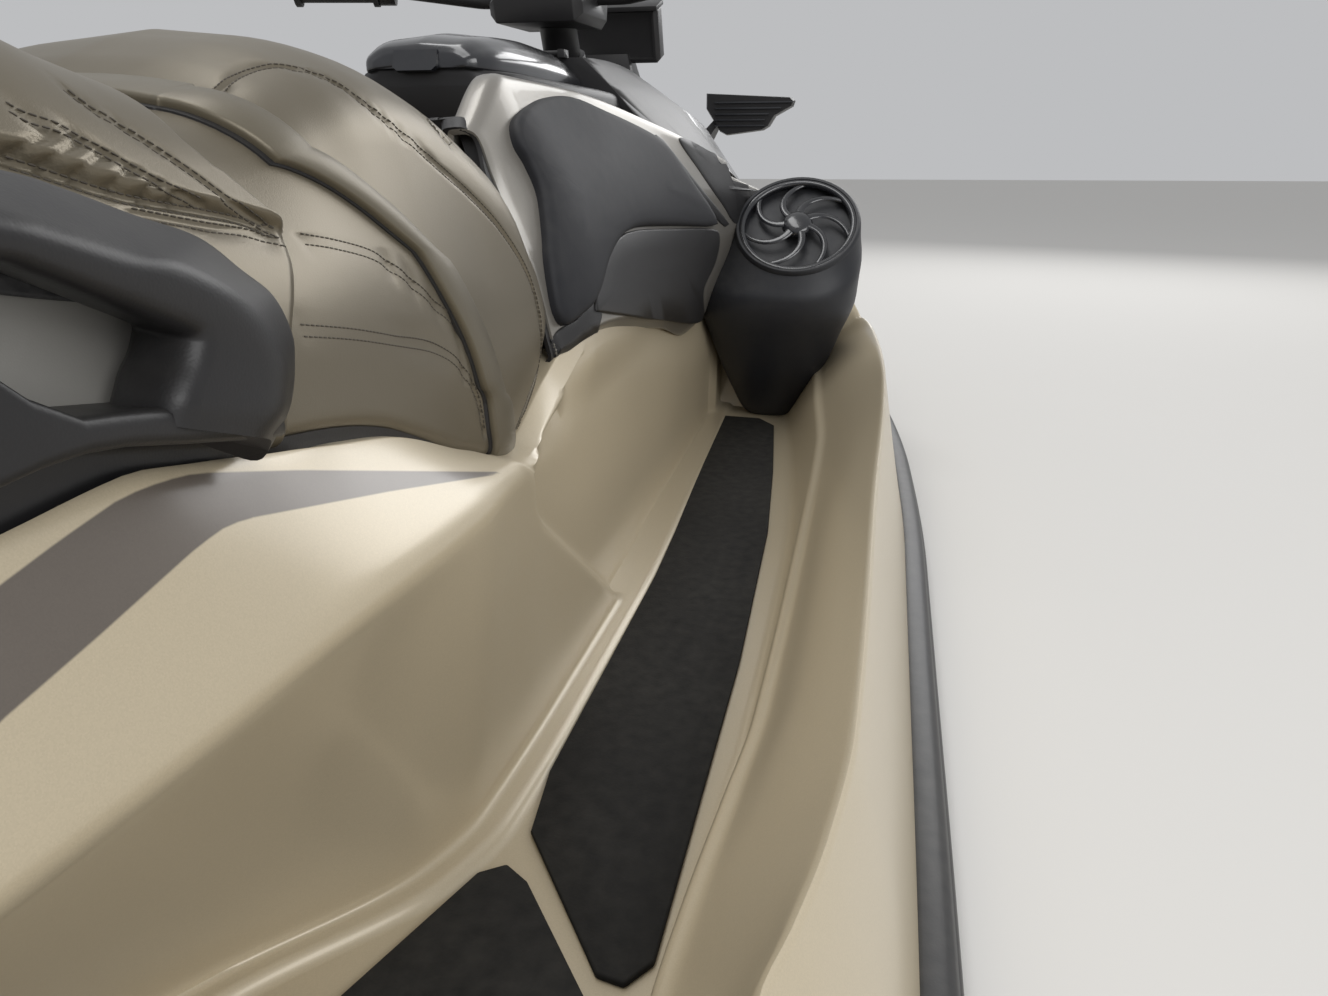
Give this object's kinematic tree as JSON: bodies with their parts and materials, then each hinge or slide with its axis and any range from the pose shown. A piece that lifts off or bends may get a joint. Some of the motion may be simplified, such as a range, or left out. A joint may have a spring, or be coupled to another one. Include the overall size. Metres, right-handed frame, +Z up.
{
  "type": "personal watercraft",
  "caption": "Sit-astride jet-driven watercraft with decked hull, footwells, stepped seat, raked handlebar, opening hood and rear boarding step.",
  "frame": {"origin": "on the centreline, at mid-length, at the height of the waterline", "axes": "+X forward, +Y to port, +Z up"},
  "size_m": [3.435, 1.2544, 1.1416],
  "materials": {
    "hull_gelcoat": "metallic grey gelcoat, gloss",
    "deck_gelcoat": "pearl sand gelcoat, gloss",
    "engine": "plain",
    "rail_rubber": "satin black",
    "console_gloss": "metallic sand and black, gloss",
    "trim_plastic": "satin black",
    "seat_cover": "grained vinyl with stitched seams",
    "strap_webbing": "coated strap",
    "pad_rubber": "textured, matte",
    "hood_satin": "dark satin grey",
    "stainless": "brushed",
    "pod_gloss": "black, gloss",
    "mat_foam": "grooved foam",
    "painted_bar": "satin black",
    "lever_metal": "black anodised",
    "cast_alloy": "cast, satin"
  },
  "bodies": {
    "root": {"hull": "hull_gelcoat", "deck": "deck_gelcoat", "engine_block": "engine", "rub_rail_left": "rail_rubber", "rub_rail_right": "rail_rubber", "bow_bumper": "rail_rubber", "console": "console_gloss", "dash": "trim_plastic", "driver_seat": "seat_cover", "passenger_seat": "seat_cover", "seat_strap": "strap_webbing", "seat_base": "trim_plastic", "grab_rail": "trim_plastic", "knee_pad_left": "pad_rubber", "knee_pad_right": "pad_rubber", "side_panels": "trim_plastic", "hood_hinge": "stainless", "speaker_pod_left": "pod_gloss", "speaker_pod_right": "pod_gloss", "speaker_grilles": "trim_plastic", "foot_mat_left": "mat_foam", "foot_mat_right": "mat_foam", "platform_mat": "mat_foam", "pump_housing": "cast_alloy", "intake_grate": "stainless", "ride_plate": "cast_alloy", "sponsons": "trim_plastic", "step_brackets": "stainless", "bow_eye": "stainless", "stern_eyes": "stainless"},
    "hood": {"hood_lid": "hood_satin", "gauge_display": "trim_plastic", "mirror_left": "trim_plastic", "mirror_right": "trim_plastic"},
    "glove_lid": {"glove_box_lid": "console_gloss"},
    "steering": {"steering_head": "trim_plastic", "handlebar": "painted_bar", "grip_left": "pad_rubber", "grip_right": "pad_rubber", "lever_left": "lever_metal", "lever_right": "lever_metal"},
    "nozzle": {"steering_nozzle": "cast_alloy"},
    "bucket": {"reverse_bucket": "trim_plastic"},
    "impeller": {"impeller": "stainless"},
    "step": {"boarding_step": "stainless"}
  },
  "joints": [
    {"name": "steering_turn", "type": "hinge", "parent": "root", "child": "steering", "pos_m": [0.27, 0, 0.794], "axis": [-0.4226, 0, 0.9063], "range_deg": [-21, 21]},
    {"name": "nozzle_turn", "type": "hinge", "parent": "root", "child": "nozzle", "pos_m": [-1.582, 0, -0.165], "axis": [0, 0, 1], "range_deg": [-21, 21]},
    {"name": "bucket_tilt", "type": "hinge", "parent": "root", "child": "bucket", "pos_m": [-1.528, 0, -0.165], "axis": [0, -1, 0], "range_deg": [0, 64]},
    {"name": "impeller_spin", "type": "hinge", "parent": "root", "child": "impeller", "pos_m": [-1.31, 0, -0.165], "axis": [1, 0, 0], "continuous": true},
    {"name": "hood_open", "type": "hinge", "parent": "root", "child": "hood", "pos_m": [1.342, 0, 0.40272], "axis": [0, 1, 0], "range_deg": [0, 50]},
    {"name": "glove_lid_open", "type": "hinge", "parent": "root", "child": "glove_lid", "pos_m": [0.1, 0, 0.705], "axis": [0, 1, 0], "range_deg": [0, 60]},
    {"name": "step_fold", "type": "hinge", "parent": "root", "child": "step", "pos_m": [-1.69, 0, -0.2], "axis": [0, -1, 0], "range_deg": [0, 175]}
  ],
  "couplings": [
    {"joint": "nozzle_turn", "follows": "steering_turn", "ratio": -1}
  ]
}
